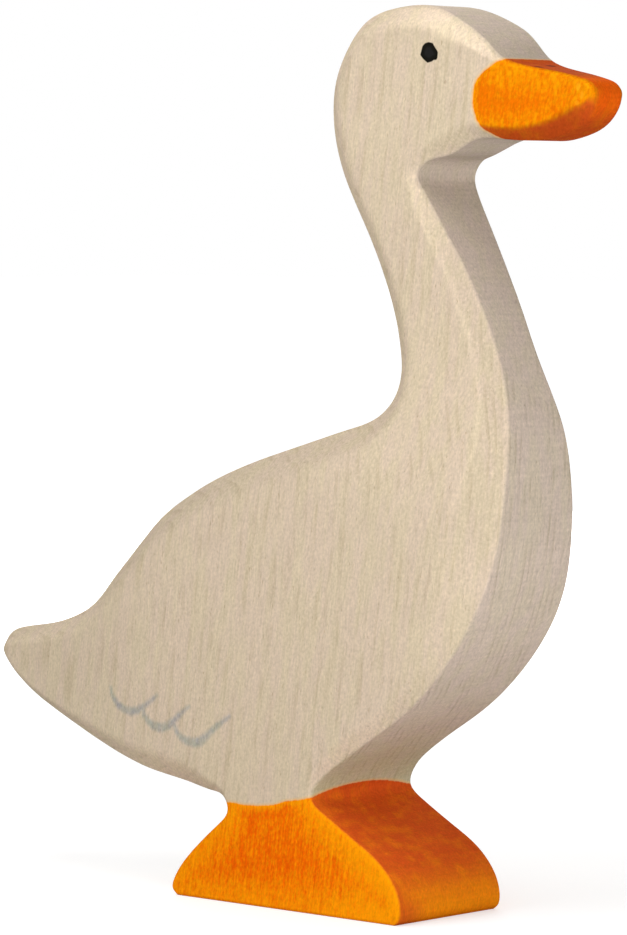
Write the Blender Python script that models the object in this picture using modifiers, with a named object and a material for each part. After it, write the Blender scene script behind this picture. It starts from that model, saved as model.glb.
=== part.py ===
"""A goose figurine: one piece of board, sawn to the outline of a standing goose.

The neck, head, beak and tail are sanded thinner than the board, and a facet runs round each side
where its edge was sanded away. Metres, +Z up, head towards +X, the board's thickness along Y.
The origin lies under the middle of the figure, on the surface that it stands on.
"""

import math

import bmesh
import bpy
import numpy as np
from mathutils import Vector
from mathutils.geometry import delaunay_2d_cdt

# Driving sizes: half of the board, and half of what the sanding left of it.
BODY_HALF = 0.01375
NECK_HALF = 0.0078
HEAD_HALF = 0.0085
BEAK_HALF = 0.0046
TAIL_THINNING = 0.0028

# Heights and lengths between which the thickness changes.
# Behind the neck's axis the neck's taper climbs with distance, softly at first over the reach.
NECK_TAPER_LOW = 0.070
NECK_TAPER_HIGH = 0.104
NECK_AXIS_X = 0.040
NECK_AXIS_REACH = 0.020
NECK_TAPER_CLIMB = 0.3
HEAD_TAPER_LOW = 0.112
HEAD_TAPER_HIGH = 0.136
BEAK_TAPER_ROOT = 0.045
BEAK_TAPER_TIP = 0.064
BEAK_MIDDLE_Z = 0.143
BEAK_LEAN = 0.18
TAIL_TAPER_ROOT = -0.025
TAIL_TAPER_TIP = -0.070

# The sanded edges: how round the outer crease is, and how softly a facet runs into the side.
# Softness is a share of the facet's depth, and the crease takes at most its share of the facet.
CREASE_RADIUS = 0.00045
CREASE_SHARE_OF_FACET = 0.5
FACET_SOFTNESS = 0.35
LEAST_FACET_DEPTH = 0.00015

# How finely the outline and the side are divided. The stations are shares of the facet's width.
OUTLINE_POINTS = 210
SAMPLES_PER_LANDMARK = 40
CHORD_SAG = 0.00005
SHORTEST_STEP = 0.0008
LONGEST_STEP = 0.0040
SIDE_GRID = 0.0060
SIDE_GRID_MARGIN = 0.0030
PAINT_MARGIN = 0.0015
CREASE_STATION = 0.25
FACET_STATIONS = (0.62, 0.88, 1.10, 1.36)

# Limits of the numbers themselves: a straight run's turn, points that count as one, and the
# angle from which an edge is shaded sharp.
STRAIGHT_TURN = 1e-6
SAME_POINT = 1e-7
MERGE_DISTANCE = 0.00001
SHARP_ANGLE = math.radians(25)

# The outline's landmarks, up the front and down the back.
# Each is x, z, the facet's width in the side view, and the facet's depth along Y.
FRONT_OF_FOOT = (
    (0.0332, 0.0000, 0.0005, 0.0003),
    (0.0342, 0.0008, 0.0005, 0.0003),
    (0.0346, 0.0036, 0.0006, 0.0003),
    (0.0331, 0.0072, 0.0006, 0.0003),
    (0.0284, 0.0116, 0.0006, 0.0003),
    (0.0226, 0.0148, 0.0006, 0.0003),
    (0.0166, 0.0181, 0.0006, 0.0003),
    (0.0135, 0.0209, 0.0008, 0.0004),
)
BELLY_FRONT = (
    (0.0148, 0.0235, 0.0014, 0.0010),
    (0.0186, 0.0268, 0.0023, 0.0018),
    (0.0261, 0.0317, 0.0025, 0.0020),
    (0.0344, 0.0371, 0.0027, 0.0020),
    (0.0411, 0.0431, 0.0034, 0.0020),
)
BREAST = (
    (0.0464, 0.0495, 0.0056, 0.0020),
    (0.0514, 0.0585, 0.0088, 0.0027),
    (0.0539, 0.0678, 0.0095, 0.0038),
    (0.0546, 0.0771, 0.0072, 0.0041),
    (0.0541, 0.0866, 0.0046, 0.0035),
)
NECK_FRONT = (
    (0.0512, 0.0960, 0.0036, 0.0030),
    (0.0473, 0.1052, 0.0031, 0.0026),
    (0.0428, 0.1140, 0.0029, 0.0022),
    (0.0376, 0.1225, 0.0027, 0.0015),
    (0.0346, 0.1274, 0.0022, 0.0011),
)
THROAT_AND_CHIN = (
    (0.0335, 0.1303, 0.0016, 0.0006),
    (0.0350, 0.1325, 0.0018, 0.0009),
    (0.0386, 0.1336, 0.0026, 0.0023),
    (0.0422, 0.1350, 0.0026, 0.0023),
    (0.0460, 0.1364, 0.0022, 0.0019),
)
BEAK_UNDER = (
    (0.0510, 0.1364, 0.0018, 0.0019),
    (0.0573, 0.1361, 0.0019, 0.0021),
    (0.0620, 0.1368, 0.0019, 0.0020),
    (0.0655, 0.1380, 0.0017, 0.0019),
)
BEAK_TIP = (
    (0.0682, 0.1398, 0.0013, 0.0019),
    (0.0697, 0.1422, 0.0009, 0.0015),
    (0.0698, 0.1446, 0.0007, 0.0011),
    (0.0687, 0.1459, 0.0006, 0.0007),
)
BEAK_TOP = (
    (0.0670, 0.1466, 0.0006, 0.0006),
    (0.0630, 0.1476, 0.0006, 0.0004),
    (0.0583, 0.1485, 0.0006, 0.0004),
    (0.0540, 0.1495, 0.0007, 0.0004),
    (0.0514, 0.1506, 0.0010, 0.0006),
)
FOREHEAD = (
    (0.0490, 0.1527, 0.0017, 0.0011),
    (0.0467, 0.1547, 0.0023, 0.0013),
    (0.0427, 0.1570, 0.0031, 0.0015),
    (0.0373, 0.1592, 0.0032, 0.0025),
)
CROWN = (
    (0.0316, 0.1600, 0.0032, 0.0033),
    (0.0266, 0.1597, 0.0033, 0.0033),
    (0.0191, 0.1574, 0.0035, 0.0032),
)
BACK_OF_HEAD = (
    (0.0148, 0.1528, 0.0038, 0.0031),
    (0.0122, 0.1474, 0.0039, 0.0030),
    (0.0115, 0.1410, 0.0039, 0.0030),
    (0.0127, 0.1347, 0.0038, 0.0028),
)
BACK_OF_NECK = (
    (0.0152, 0.1286, 0.0036, 0.0026),
    (0.0190, 0.1215, 0.0036, 0.0026),
    (0.0223, 0.1149, 0.0036, 0.0026),
    (0.0253, 0.1076, 0.0036, 0.0026),
    (0.0273, 0.1003, 0.0037, 0.0027),
    (0.0280, 0.0955, 0.0038, 0.0029),
    (0.0269, 0.0914, 0.0040, 0.0032),
)
BACK = (
    (0.0239, 0.0883, 0.0042, 0.0035),
    (0.0180, 0.0860, 0.0043, 0.0037),
    (0.0071, 0.0827, 0.0043, 0.0037),
    (-0.0034, 0.0795, 0.0043, 0.0037),
    (-0.0133, 0.0759, 0.0043, 0.0037),
    (-0.0208, 0.0722, 0.0042, 0.0037),
)
RUMP = (
    (-0.0275, 0.0679, 0.0040, 0.0036),
    (-0.0328, 0.0631, 0.0038, 0.0035),
    (-0.0402, 0.0562, 0.0036, 0.0034),
    (-0.0449, 0.0518, 0.0034, 0.0032),
    (-0.0500, 0.0492, 0.0031, 0.0031),
)
TAIL = (
    (-0.0570, 0.0472, 0.0028, 0.0029),
    (-0.0648, 0.0460, 0.0025, 0.0028),
    (-0.0692, 0.0442, 0.0022, 0.0027),
    (-0.0703, 0.0415, 0.0020, 0.0026),
    (-0.0686, 0.0384, 0.0019, 0.0026),
    (-0.0653, 0.0355, 0.0019, 0.0026),
)
BELLY_UNDER = (
    (-0.0605, 0.0327, 0.0021, 0.0027),
    (-0.0543, 0.0300, 0.0025, 0.0029),
    (-0.0472, 0.0272, 0.0030, 0.0031),
    (-0.0391, 0.0243, 0.0037, 0.0034),
    (-0.0300, 0.0219, 0.0042, 0.0036),
    (-0.0200, 0.0205, 0.0040, 0.0031),
)
BACK_OF_FOOT = (
    (-0.0120, 0.0196, 0.0022, 0.0015),
    (-0.0080, 0.0185, 0.0010, 0.0006),
    (-0.0073, 0.0168, 0.0008, 0.0005),
    (-0.0092, 0.0143, 0.0008, 0.0005),
    (-0.0135, 0.0109, 0.0008, 0.0005),
    (-0.0175, 0.0073, 0.0008, 0.0005),
    (-0.0205, 0.0034, 0.0007, 0.0004),
    (-0.0210, 0.0013, 0.0006, 0.0003),
    (-0.0196, 0.0000, 0.0005, 0.0003),
)

# Where the stain on the beak and the feet ends: on the outline, and on the side between.
BEAK_STAIN_UNDER = (0.0494, 0.1365)
BEAK_STAIN_SIDE = (
    (0.0472, 0.1406),
    (0.0465, 0.1425),
    (0.0464, 0.1446),
    (0.0472, 0.1467),
    (0.0486, 0.1483),
)
BEAK_STAIN_TOP = (0.0509, 0.1510)
FOOT_STAIN_FRONT = (0.0137, 0.0215)
FOOT_STAIN_SIDE = (
    (0.0105, 0.0201),
    (0.0065, 0.0195),
    (0.0020, 0.0185),
    (-0.0025, 0.0182),
)
FOOT_STAIN_BACK = (-0.0078, 0.0180)

# The eye, and the three painted arcs on the wing, each from its left end to its right.
EYE_CENTRE = (0.0365, 0.1514)
EYE_WIDTH = 0.0038
EYE_HEIGHT = 0.0032
EYE_CORNERS = 12
ARC_WIDTH = 0.0009
ARC_STEPS = 8
WING_ARCS = (
    ((-0.0370, 0.0365), (-0.0335, 0.0316), (-0.0257, 0.0357)),
    ((-0.0293, 0.0337), (-0.0235, 0.0286), (-0.0175, 0.0341)),
    ((-0.0211, 0.0311), (-0.0150, 0.0262), (-0.0070, 0.0331)),
)

# Each material's base colour (linear light) and roughness.
MATERIALS = (
    ("wood", (0.60, 0.49, 0.36), 0.62),
    ("orange_stain", (0.82, 0.22, 0.01), 0.55),
    ("eye_black", (0.015, 0.014, 0.012), 0.45),
    ("wing_blue", (0.42, 0.42, 0.38), 0.60),
)
WOOD, ORANGE, BLACK, BLUE = range(len(MATERIALS))


def clear_scene():
    for thing in list(bpy.data.objects):
        bpy.data.objects.remove(thing, do_unlink=True)


def ease(value, start, end):
    """0 at start, 1 at end, and smooth in between."""
    share = np.clip((value - start) / (end - start), 0.0, 1.0)
    return share * share * (3.0 - 2.0 * share)


def half_thickness(x, z):
    """Half of the wood's thickness at a point of the side view, away from the facets."""
    behind = np.clip((NECK_AXIS_X - x) / NECK_AXIS_REACH, 0.0, 1.0)
    reach = NECK_AXIS_REACH * behind**2 / 2 + np.maximum(NECK_AXIS_X - NECK_AXIS_REACH - x, 0.0)
    neck = ease(z - NECK_TAPER_CLIMB * reach, NECK_TAPER_LOW, NECK_TAPER_HIGH)
    head = ease(z, HEAD_TAPER_LOW, HEAD_TAPER_HIGH)
    beak = ease(x, BEAK_TAPER_ROOT, BEAK_TAPER_TIP) * head
    tail = ease(-x, -TAIL_TAPER_ROOT, -TAIL_TAPER_TIP) * (1.0 - neck)
    half = BODY_HALF + (NECK_HALF - BODY_HALF) * neck + (HEAD_HALF - NECK_HALF) * head
    half = half + (BEAK_HALF - HEAD_HALF + BEAK_LEAN * (BEAK_MIDDLE_Z - z)) * beak
    return half - TAIL_THINNING * tail


def spline_through(knots, samples):
    """Points on the natural cubic spline through the knots, whose columns are blended alike."""
    knots = np.array(knots)
    chords = np.linalg.norm(np.diff(knots[:, :2], axis=0), axis=1)
    at = np.concatenate(([0.0], np.cumsum(chords)))
    count = len(knots)
    system = np.eye(count)
    right = np.zeros_like(knots)
    for i in range(1, count - 1):
        before, after = chords[i - 1], chords[i]
        system[i, i - 1 : i + 2] = before, 2 * (before + after), after
        right[i] = 6 * ((knots[i + 1] - knots[i]) / after - (knots[i] - knots[i - 1]) / before)
    bend = np.linalg.solve(system, right)
    where = np.linspace(0.0, at[-1], samples)
    span = np.clip(np.searchsorted(at, where, side="right") - 1, 0, count - 2)
    length = chords[span][:, None]
    ahead = (at[span + 1] - where)[:, None] / length
    past = 1.0 - ahead
    curved = (ahead**3 - ahead) * bend[span] + (past**3 - past) * bend[span + 1]
    return ahead * knots[span] + past * knots[span + 1] + curved * length**2 / 6


def spaced_by_curvature(points, count):
    """The fine points thinned out: close together where the outline turns, far apart where it runs straight."""
    steps = np.diff(points[:, :2], axis=0)
    lengths = np.linalg.norm(steps, axis=1)
    heading = np.unwrap(np.arctan2(steps[:, 1], steps[:, 0]))
    turn = np.abs(np.gradient(heading)) / lengths
    chord = np.sqrt(8 * CHORD_SAG / np.maximum(turn, STRAIGHT_TURN))
    wanted = np.clip(chord, SHORTEST_STEP, LONGEST_STEP)
    travelled = np.concatenate(([0.0], np.cumsum(lengths / wanted)))
    stops = np.linspace(0.0, travelled[-1], count)
    return np.column_stack([np.interp(stops, travelled, column) for column in points.T])


def outline_points():
    """The closed outline: x, z, facet width and facet depth at each point, up the front and down the back."""
    landmarks = (
        FRONT_OF_FOOT + BELLY_FRONT + BREAST + NECK_FRONT + THROAT_AND_CHIN + BEAK_UNDER + BEAK_TIP
        + BEAK_TOP + FOREHEAD + CROWN + BACK_OF_HEAD + BACK_OF_NECK + BACK + RUMP + TAIL
        + BELLY_UNDER + BACK_OF_FOOT
    )
    fine = spline_through(landmarks, SAMPLES_PER_LANDMARK * len(landmarks))
    around = spaced_by_curvature(fine, OUTLINE_POINTS)
    sole_steps = math.ceil((around[0, 0] - around[-1, 0]) / LONGEST_STEP)
    along = np.linspace(0.0, 1.0, sole_steps + 1)[1:-1, None]
    sole = around[-1] + (around[0] - around[-1]) * along
    return np.vstack([around, sole])


def inward_normals(outline):
    tangent = np.roll(outline[:, :2], -1, axis=0) - np.roll(outline[:, :2], 1, axis=0)
    tangent /= np.linalg.norm(tangent, axis=1)[:, None]
    return np.column_stack([-tangent[:, 1], tangent[:, 0]])


def side_rings(outline):
    """Rings of points from the middle of the board's edge, over the crease and the facet, to the side."""
    normal = inward_normals(outline)
    width = outline[:, 2]
    depth = np.maximum(outline[:, 3], LEAST_FACET_DEPTH)
    slant = np.hypot(width, depth)
    radius = np.minimum(CREASE_RADIUS, CREASE_SHARE_OF_FACET * slant)
    edge = half_thickness(outline[:, 0], outline[:, 1]) - depth

    def ring(offset, half):
        place = outline[:, :2] + normal * offset[:, None]
        return np.column_stack([place[:, 0], -half, place[:, 1]])

    nothing = np.zeros_like(width)
    eased_in = radius * width / slant
    eased_up = radius * depth / slant
    rings = [
        ring(nothing, nothing),
        ring(nothing, edge - radius),
        ring(CREASE_STATION * eased_in, edge + CREASE_STATION * (eased_up - radius)),
        ring(eased_in, edge + eased_up),
    ]
    for station in FACET_STATIONS:
        offset = width * station
        place = outline[:, :2] + normal * offset[:, None]
        side = half_thickness(place[:, 0], place[:, 1])
        facet = edge + (side - edge) * station
        blend = FACET_SOFTNESS * depth
        mix = np.clip(0.5 + 0.5 * (side - facet) / blend, 0.0, 1.0)
        rings.append(ring(offset, side * (1 - mix) + facet * mix - blend * mix * (1 - mix)))
    return rings


def nearest(points, place):
    return int(np.argmin(np.hypot(points[:, 0] - place[0], points[:, 1] - place[1])))


def arc_through(start, middle, end, steps):
    """Points along the curve that leaves start, passes near middle and arrives at end."""
    start, middle, end = (np.array(point) for point in (start, middle, end))
    pull = 2 * middle - (start + end) / 2
    share = np.linspace(0.0, 1.0, steps + 1)[:, None]
    return (1 - share) ** 2 * start + 2 * share * (1 - share) * pull + share**2 * end


def stroke_outline(line, width):
    """The closed outline of a brush stroke along a line."""
    tangent = np.gradient(line, axis=0)
    tangent /= np.linalg.norm(tangent, axis=1)[:, None]
    aside = np.column_stack([-tangent[:, 1], tangent[:, 0]]) * width / 2
    return np.vstack([line + aside, (line - aside)[::-1]])


def eye_outline():
    angles = np.linspace(0.0, 2 * math.pi, EYE_CORNERS, endpoint=False)
    x = EYE_CENTRE[0] + EYE_WIDTH / 2 * np.cos(angles)
    z = EYE_CENTRE[1] + EYE_HEIGHT / 2 * np.sin(angles)
    return np.column_stack([x, z])


def inside(points, polygon):
    """Which points lie inside a closed polygon."""
    crossings = np.zeros(len(points), dtype=bool)
    for (x0, z0), (x1, z1) in zip(polygon, np.roll(polygon, -1, axis=0)):
        if z0 == z1:
            continue
        across = (points[:, 1] < z0) != (points[:, 1] < z1)
        at_x = x0 + (points[:, 1] - z0) * (x1 - x0) / (z1 - z0)
        crossings ^= across & (points[:, 0] < at_x)
    return crossings


def distance_to(points, polygon):
    """The distance from each point to the nearest corner of a polygon."""
    gaps = points[:, None, :] - polygon[None, :, :]
    return np.linalg.norm(gaps, axis=2).min(axis=1)


def grid_inside(boundary, keep_clear):
    """Points of a staggered grid that lie inside the boundary, clear of it and of the painted shapes."""
    low, high = boundary.min(axis=0), boundary.max(axis=0)
    rows = np.arange(low[1], high[1], SIDE_GRID * math.sqrt(3) / 2)
    grid = [
        (x + (index % 2) * SIDE_GRID / 2, z)
        for index, z in enumerate(rows)
        for x in np.arange(low[0], high[0], SIDE_GRID)
    ]
    grid = np.array(grid)
    grid = grid[inside(grid, boundary)]
    grid = grid[distance_to(grid, boundary) > SIDE_GRID_MARGIN]
    return grid[distance_to(grid, keep_clear) > PAINT_MARGIN]


def stain_indices(outline):
    """For each outline point, whether the stretch that starts there is stained."""
    beak_from, beak_to = nearest(outline, BEAK_STAIN_UNDER), nearest(outline, BEAK_STAIN_TOP)
    foot_front, foot_back = nearest(outline, FOOT_STAIN_FRONT), nearest(outline, FOOT_STAIN_BACK)
    index = np.arange(len(outline))
    beak = (index >= beak_from) & (index < beak_to)
    foot = (index < foot_front) | (index >= foot_back)
    return beak, foot, (beak_from, beak_to, foot_front, foot_back)


def build_side(mesh, last_ring, ends):
    """The flat part of the side, divided so that the stain, the eye and the wing arcs have true edges."""
    beak_from, beak_to, foot_front, foot_back = ends
    boundary = np.array([(vert.co.x, vert.co.z) for vert in last_ring])
    beak_line = np.array(BEAK_STAIN_SIDE)
    foot_line = np.array(FOOT_STAIN_SIDE)
    eye = eye_outline()
    lines = [arc_through(*arc, ARC_STEPS) for arc in WING_ARCS]
    strokes = [stroke_outline(line, ARC_WIDTH) for line in lines]
    drawn = np.vstack([beak_line, foot_line, eye, *strokes])
    points = [boundary]
    edges = [(i, (i + 1) % len(boundary)) for i in range(len(boundary))]
    count = len(boundary)
    for line, first, last in ((beak_line, beak_from, beak_to), (foot_line, foot_front, foot_back)):
        chain = [first, *range(count, count + len(line)), last]
        edges += list(zip(chain, chain[1:]))
        points.append(line)
        count += len(line)
    for shape in (eye, *strokes):
        edges += [(count + i, count + (i + 1) % len(shape)) for i in range(len(shape))]
        points.append(shape)
        count += len(shape)
    points.append(grid_inside(boundary, drawn))
    places = [Vector((float(x), float(z))) for x, z in np.vstack(points)]
    found, _, faces, sources, _, _ = delaunay_2d_cdt(places, edges, [], 1, SAME_POINT)
    verts = []
    for place, source in zip(found, sources):
        on_ring = [i for i in source if i < len(boundary)]
        if on_ring:
            verts.append(last_ring[on_ring[0]])
            continue
        half = float(half_thickness(place.x, place.y))
        verts.append(mesh.verts.new((place.x, -half, place.y)))
    beak_shape = np.vstack([boundary[beak_from : beak_to + 1], beak_line[::-1]])
    foot_shape = np.vstack([boundary[: foot_front + 1], foot_line, boundary[foot_back:]])
    centres = np.array([np.mean([tuple(found[i]) for i in face], axis=0) for face in faces])
    slots = np.full(len(faces), WOOD)
    slots[inside(centres, beak_shape) | inside(centres, foot_shape)] = ORANGE
    slots[inside(centres, eye)] = BLACK
    for stroke in strokes:
        slots[inside(centres, stroke)] = BLUE
    for face, slot in zip(faces, slots):
        mesh.faces.new([verts[i] for i in face]).material_index = int(slot)


def build_half(mesh):
    """The half on the near side, open at the middle of the board."""
    outline = outline_points()
    rings = [[mesh.verts.new(place) for place in ring] for ring in side_rings(outline)]
    on_beak, on_foot, ends = stain_indices(outline)
    stained = on_beak | on_foot
    count = len(outline)
    for outer, inner in zip(rings, rings[1:]):
        for i in range(count):
            j = (i + 1) % count
            face = mesh.faces.new((outer[i], outer[j], inner[j], inner[i]))
            face.material_index = ORANGE if stained[i] else WOOD
    build_side(mesh, rings[-1], ends)


def make_material(name, colour, roughness):
    material = bpy.data.materials.new(name)
    material.use_nodes = True
    shader = material.node_tree.nodes["Principled BSDF"]
    shader.inputs["Base Color"].default_value = (*colour, 1.0)
    shader.inputs["Roughness"].default_value = roughness
    shader.inputs["Metallic"].default_value = 0.0
    return material


def make_goose(collection):
    mesh = bmesh.new()
    build_half(mesh)
    data = bpy.data.meshes.new("goose")
    mesh.to_mesh(data)
    mesh.free()
    for name, colour, roughness in MATERIALS:
        data.materials.append(make_material(name, colour, roughness))
    goose = bpy.data.objects.new("goose", data)
    collection.objects.link(goose)
    mirror = goose.modifiers.new("other_side", "MIRROR")
    mirror.use_axis = (False, True, False)
    mirror.use_clip = True
    mirror.use_mirror_merge = True
    mirror.merge_threshold = MERGE_DISTANCE
    data.shade_smooth()
    data.set_sharp_from_angle(angle=SHARP_ANGLE)
    return goose


def main():
    clear_scene()
    collection = bpy.data.collections.new("goose_figurine")
    bpy.context.scene.collection.children.link(collection)
    make_goose(collection)


main()
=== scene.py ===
"""The looks of a goose figurine: sawn from one board, sanded to facets, stained and painted.

A finer mesh, made from the same landmarks as the solid, stands for it. Its vertices carry how far
they lie from each stain and painted mark, in millimetres, and one material draws wood, stain and
paint from that. Metres, +Z up, beak towards +X, the board's thickness along Y.
"""

import math

import bpy
import numpy as np
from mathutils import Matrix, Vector, noise
from mathutils.geometry import delaunay_2d_cdt


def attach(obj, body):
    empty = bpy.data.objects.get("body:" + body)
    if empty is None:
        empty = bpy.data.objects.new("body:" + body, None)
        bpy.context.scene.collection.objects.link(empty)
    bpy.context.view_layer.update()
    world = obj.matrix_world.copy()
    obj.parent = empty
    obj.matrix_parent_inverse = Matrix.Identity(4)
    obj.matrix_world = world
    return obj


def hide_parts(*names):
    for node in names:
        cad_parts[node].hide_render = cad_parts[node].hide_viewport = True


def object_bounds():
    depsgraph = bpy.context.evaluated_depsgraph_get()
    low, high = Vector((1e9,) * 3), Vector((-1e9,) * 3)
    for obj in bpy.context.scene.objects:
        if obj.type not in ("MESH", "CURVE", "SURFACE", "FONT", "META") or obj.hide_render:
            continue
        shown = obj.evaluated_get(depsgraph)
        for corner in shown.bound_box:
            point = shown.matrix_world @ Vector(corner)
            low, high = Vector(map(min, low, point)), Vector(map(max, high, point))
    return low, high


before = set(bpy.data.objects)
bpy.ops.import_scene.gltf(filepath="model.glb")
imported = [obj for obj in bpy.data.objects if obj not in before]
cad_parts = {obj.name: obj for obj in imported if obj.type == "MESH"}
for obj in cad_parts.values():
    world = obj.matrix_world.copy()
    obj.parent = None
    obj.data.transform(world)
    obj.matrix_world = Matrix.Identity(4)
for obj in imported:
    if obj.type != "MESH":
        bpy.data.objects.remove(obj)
cad_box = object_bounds()

# Half of the board, and half of what the sanding left of it.
BODY_HALF = 0.01375
NECK_HALF = 0.0078
HEAD_HALF = 0.0085
BEAK_HALF = 0.0046
TAIL_THINNING = 0.0028

# Heights and lengths between which the thickness changes.
# Behind the neck's axis the neck's taper climbs with distance, softly at first over the reach.
NECK_TAPER_LOW = 0.070
NECK_TAPER_HIGH = 0.104
NECK_AXIS_X = 0.040
NECK_AXIS_REACH = 0.020
NECK_TAPER_CLIMB = 0.3
HEAD_TAPER_LOW = 0.112
HEAD_TAPER_HIGH = 0.136
BEAK_TAPER_ROOT = 0.045
BEAK_TAPER_TIP = 0.064
BEAK_MIDDLE_Z = 0.143
BEAK_LEAN = 0.18
TAIL_TAPER_ROOT = -0.025
TAIL_TAPER_TIP = -0.070

# The sanded edges: how round the outer crease is, and how softly a facet runs into the side.
# Softness is a share of the facet's depth, and the crease takes at most its share of the facet.
CREASE_RADIUS = 0.00045
CREASE_SHARE_OF_FACET = 0.5
FACET_SOFTNESS = 0.35
LEAST_FACET_DEPTH = 0.00015

# How finely the outline and the side are divided. The stations are shares of the half board up
# to the crease, of the crease, and of the facet's width.
OUTLINE_POINTS = 860
SAMPLES_PER_LANDMARK = 60
CHORD_SAG = 0.000004
SHORTEST_STEP = 0.00035
LONGEST_STEP = 0.0009
BAND_STATIONS = np.linspace(0.0, 1.0, 13)
CREASE_STATIONS = (0.15, 0.35, 0.55, 0.78, 1.0)
FACET_STATIONS = (0.16, 0.32, 0.46, 0.58, 0.68, 0.77, 0.85, 0.93, 1.0)
BEYOND_FACET = (1.06, 1.13, 1.22, 1.33, 1.46)
SIDE_GRID = 0.0011
PAINT_GRID = 0.00034
PAINT_MARGIN = 0.0012
STRAIGHT_TURN = 1e-6
SAME_POINT = 1e-8

# How uneven the sanding is: the depth and the length of its waves, and where they start.
SANDING_WAVES = ((0.00010, 0.016), (0.00004, 0.0045))
SANDING_ABOVE = 0.002

# Painted light and shade on facets that face this way in the side view, and how much of it:
# a painted highlight on the head's facets, painted shade on the other facets, and a painted
# highlight on the line where those run into the side.
PAINTED_LIGHT_DIRECTION = np.array((0.75, 0.66))
PAINTED_LIGHT_REACH = (0.40, 0.75)
PAINTED_HIGHLIGHT_ON_HEAD = 0.9
PAINTED_SHADE_ON_FACET = -0.35
PAINTED_HIGHLIGHT_ON_CREASE = 0.55
PAINTED_HIGHLIGHT_CREASE_WIDTH = 0.0009

# How wide a facet is that takes as much stain as the sawn edge, and where along it that ends.
WORN_FACET_WIDTH = (0.0008, 0.0016)
WORN_ABOVE_SOLE = 0.0015
WORN_FACET_END = (0.8, 1.3)

# Spots of painted light and shade along the outline: x, z, reach, and how much lighter the sawn
# edge and the facet are painted there. Painted shade darkens the throat, the chin, the beak's root
# and underside and the back's facet, and painted light brightens the foot's front, the forehead,
# the breast and the belly's facet.
PAINTED_LIGHT_SPOTS = (
    (0.0340, 0.1305, 0.010, -0.50, 0.00),
    (0.0430, 0.1350, 0.011, -1.00, -0.20),
    (0.0570, 0.1488, 0.013, -0.55, 0.00),
    (0.0590, 0.1366, 0.015, -1.20, -1.90),
    (0.0270, 0.0090, 0.020, 0.35, 0.00),
    (0.0440, 0.1565, 0.013, 0.40, 0.45),
    (-0.0050, 0.0800, 0.045, 0.00, -0.45),
    (-0.0400, 0.0250, 0.035, 0.00, 0.50),
    (0.0240, 0.0300, 0.014, 0.00, 0.40),
    (0.0500, 0.0560, 0.018, 0.22, 0.00),
)
SPOT_CORE = 0.4

# The painted marks stay on the sides: within this share of the half board from its middle, a point
# counts as this much further from them.
UNPAINTED_SHARE = 0.8
UNPAINTED_GAP = 0.005

# The outline's landmarks, up the front and down the back.
# Each is x, z, the facet's width in the side view, and the facet's depth along Y.
FRONT_OF_FOOT = (
    (0.0332, 0.0000, 0.0005, 0.0003),
    (0.0342, 0.0008, 0.0005, 0.0003),
    (0.0346, 0.0036, 0.0006, 0.0003),
    (0.0331, 0.0072, 0.0006, 0.0003),
    (0.0284, 0.0116, 0.0006, 0.0003),
    (0.0226, 0.0148, 0.0006, 0.0003),
    (0.0166, 0.0181, 0.0006, 0.0003),
    (0.0135, 0.0209, 0.0008, 0.0004),
)
BELLY_FRONT = (
    (0.0148, 0.0235, 0.0014, 0.0010),
    (0.0186, 0.0268, 0.0023, 0.0018),
    (0.0261, 0.0317, 0.0025, 0.0020),
    (0.0344, 0.0371, 0.0027, 0.0020),
    (0.0411, 0.0431, 0.0034, 0.0020),
)
BREAST = (
    (0.0464, 0.0495, 0.0056, 0.0020),
    (0.0514, 0.0585, 0.0088, 0.0027),
    (0.0539, 0.0678, 0.0095, 0.0038),
    (0.0546, 0.0771, 0.0072, 0.0041),
    (0.0541, 0.0866, 0.0046, 0.0035),
)
NECK_FRONT = (
    (0.0512, 0.0960, 0.0036, 0.0030),
    (0.0473, 0.1052, 0.0031, 0.0026),
    (0.0428, 0.1140, 0.0029, 0.0022),
    (0.0376, 0.1225, 0.0027, 0.0015),
    (0.0346, 0.1274, 0.0022, 0.0011),
)
THROAT_AND_CHIN = (
    (0.0335, 0.1303, 0.0016, 0.0006),
    (0.0350, 0.1325, 0.0018, 0.0009),
    (0.0386, 0.1336, 0.0026, 0.0023),
    (0.0422, 0.1350, 0.0026, 0.0023),
    (0.0460, 0.1364, 0.0022, 0.0019),
)
BEAK_UNDER = (
    (0.0510, 0.1364, 0.0018, 0.0019),
    (0.0573, 0.1361, 0.0022, 0.0021),
    (0.0620, 0.1368, 0.0026, 0.0020),
    (0.0655, 0.1380, 0.0028, 0.0019),
)
BEAK_TIP = (
    (0.0682, 0.1398, 0.0025, 0.0019),
    (0.0697, 0.1422, 0.0014, 0.0015),
    (0.0698, 0.1446, 0.0007, 0.0011),
    (0.0687, 0.1459, 0.0006, 0.0007),
)
BEAK_TOP = (
    (0.0670, 0.1466, 0.0006, 0.0006),
    (0.0630, 0.1476, 0.0006, 0.0004),
    (0.0583, 0.1485, 0.0006, 0.0004),
    (0.0540, 0.1495, 0.0007, 0.0004),
    (0.0514, 0.1506, 0.0010, 0.0006),
)
FOREHEAD = (
    (0.0490, 0.1527, 0.0017, 0.0011),
    (0.0467, 0.1547, 0.0023, 0.0013),
    (0.0427, 0.1570, 0.0031, 0.0015),
    (0.0373, 0.1592, 0.0032, 0.0025),
)
CROWN = (
    (0.0316, 0.1600, 0.0032, 0.0033),
    (0.0266, 0.1597, 0.0033, 0.0033),
    (0.0191, 0.1574, 0.0035, 0.0032),
)
BACK_OF_HEAD = (
    (0.0148, 0.1528, 0.0038, 0.0031),
    (0.0122, 0.1474, 0.0039, 0.0030),
    (0.0115, 0.1410, 0.0039, 0.0030),
    (0.0127, 0.1347, 0.0038, 0.0028),
)
BACK_OF_NECK = (
    (0.0152, 0.1286, 0.0036, 0.0026),
    (0.0190, 0.1215, 0.0036, 0.0026),
    (0.0223, 0.1149, 0.0036, 0.0026),
    (0.0253, 0.1076, 0.0036, 0.0026),
    (0.0273, 0.1003, 0.0037, 0.0027),
    (0.0280, 0.0955, 0.0038, 0.0029),
    (0.0269, 0.0914, 0.0040, 0.0032),
)
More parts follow.
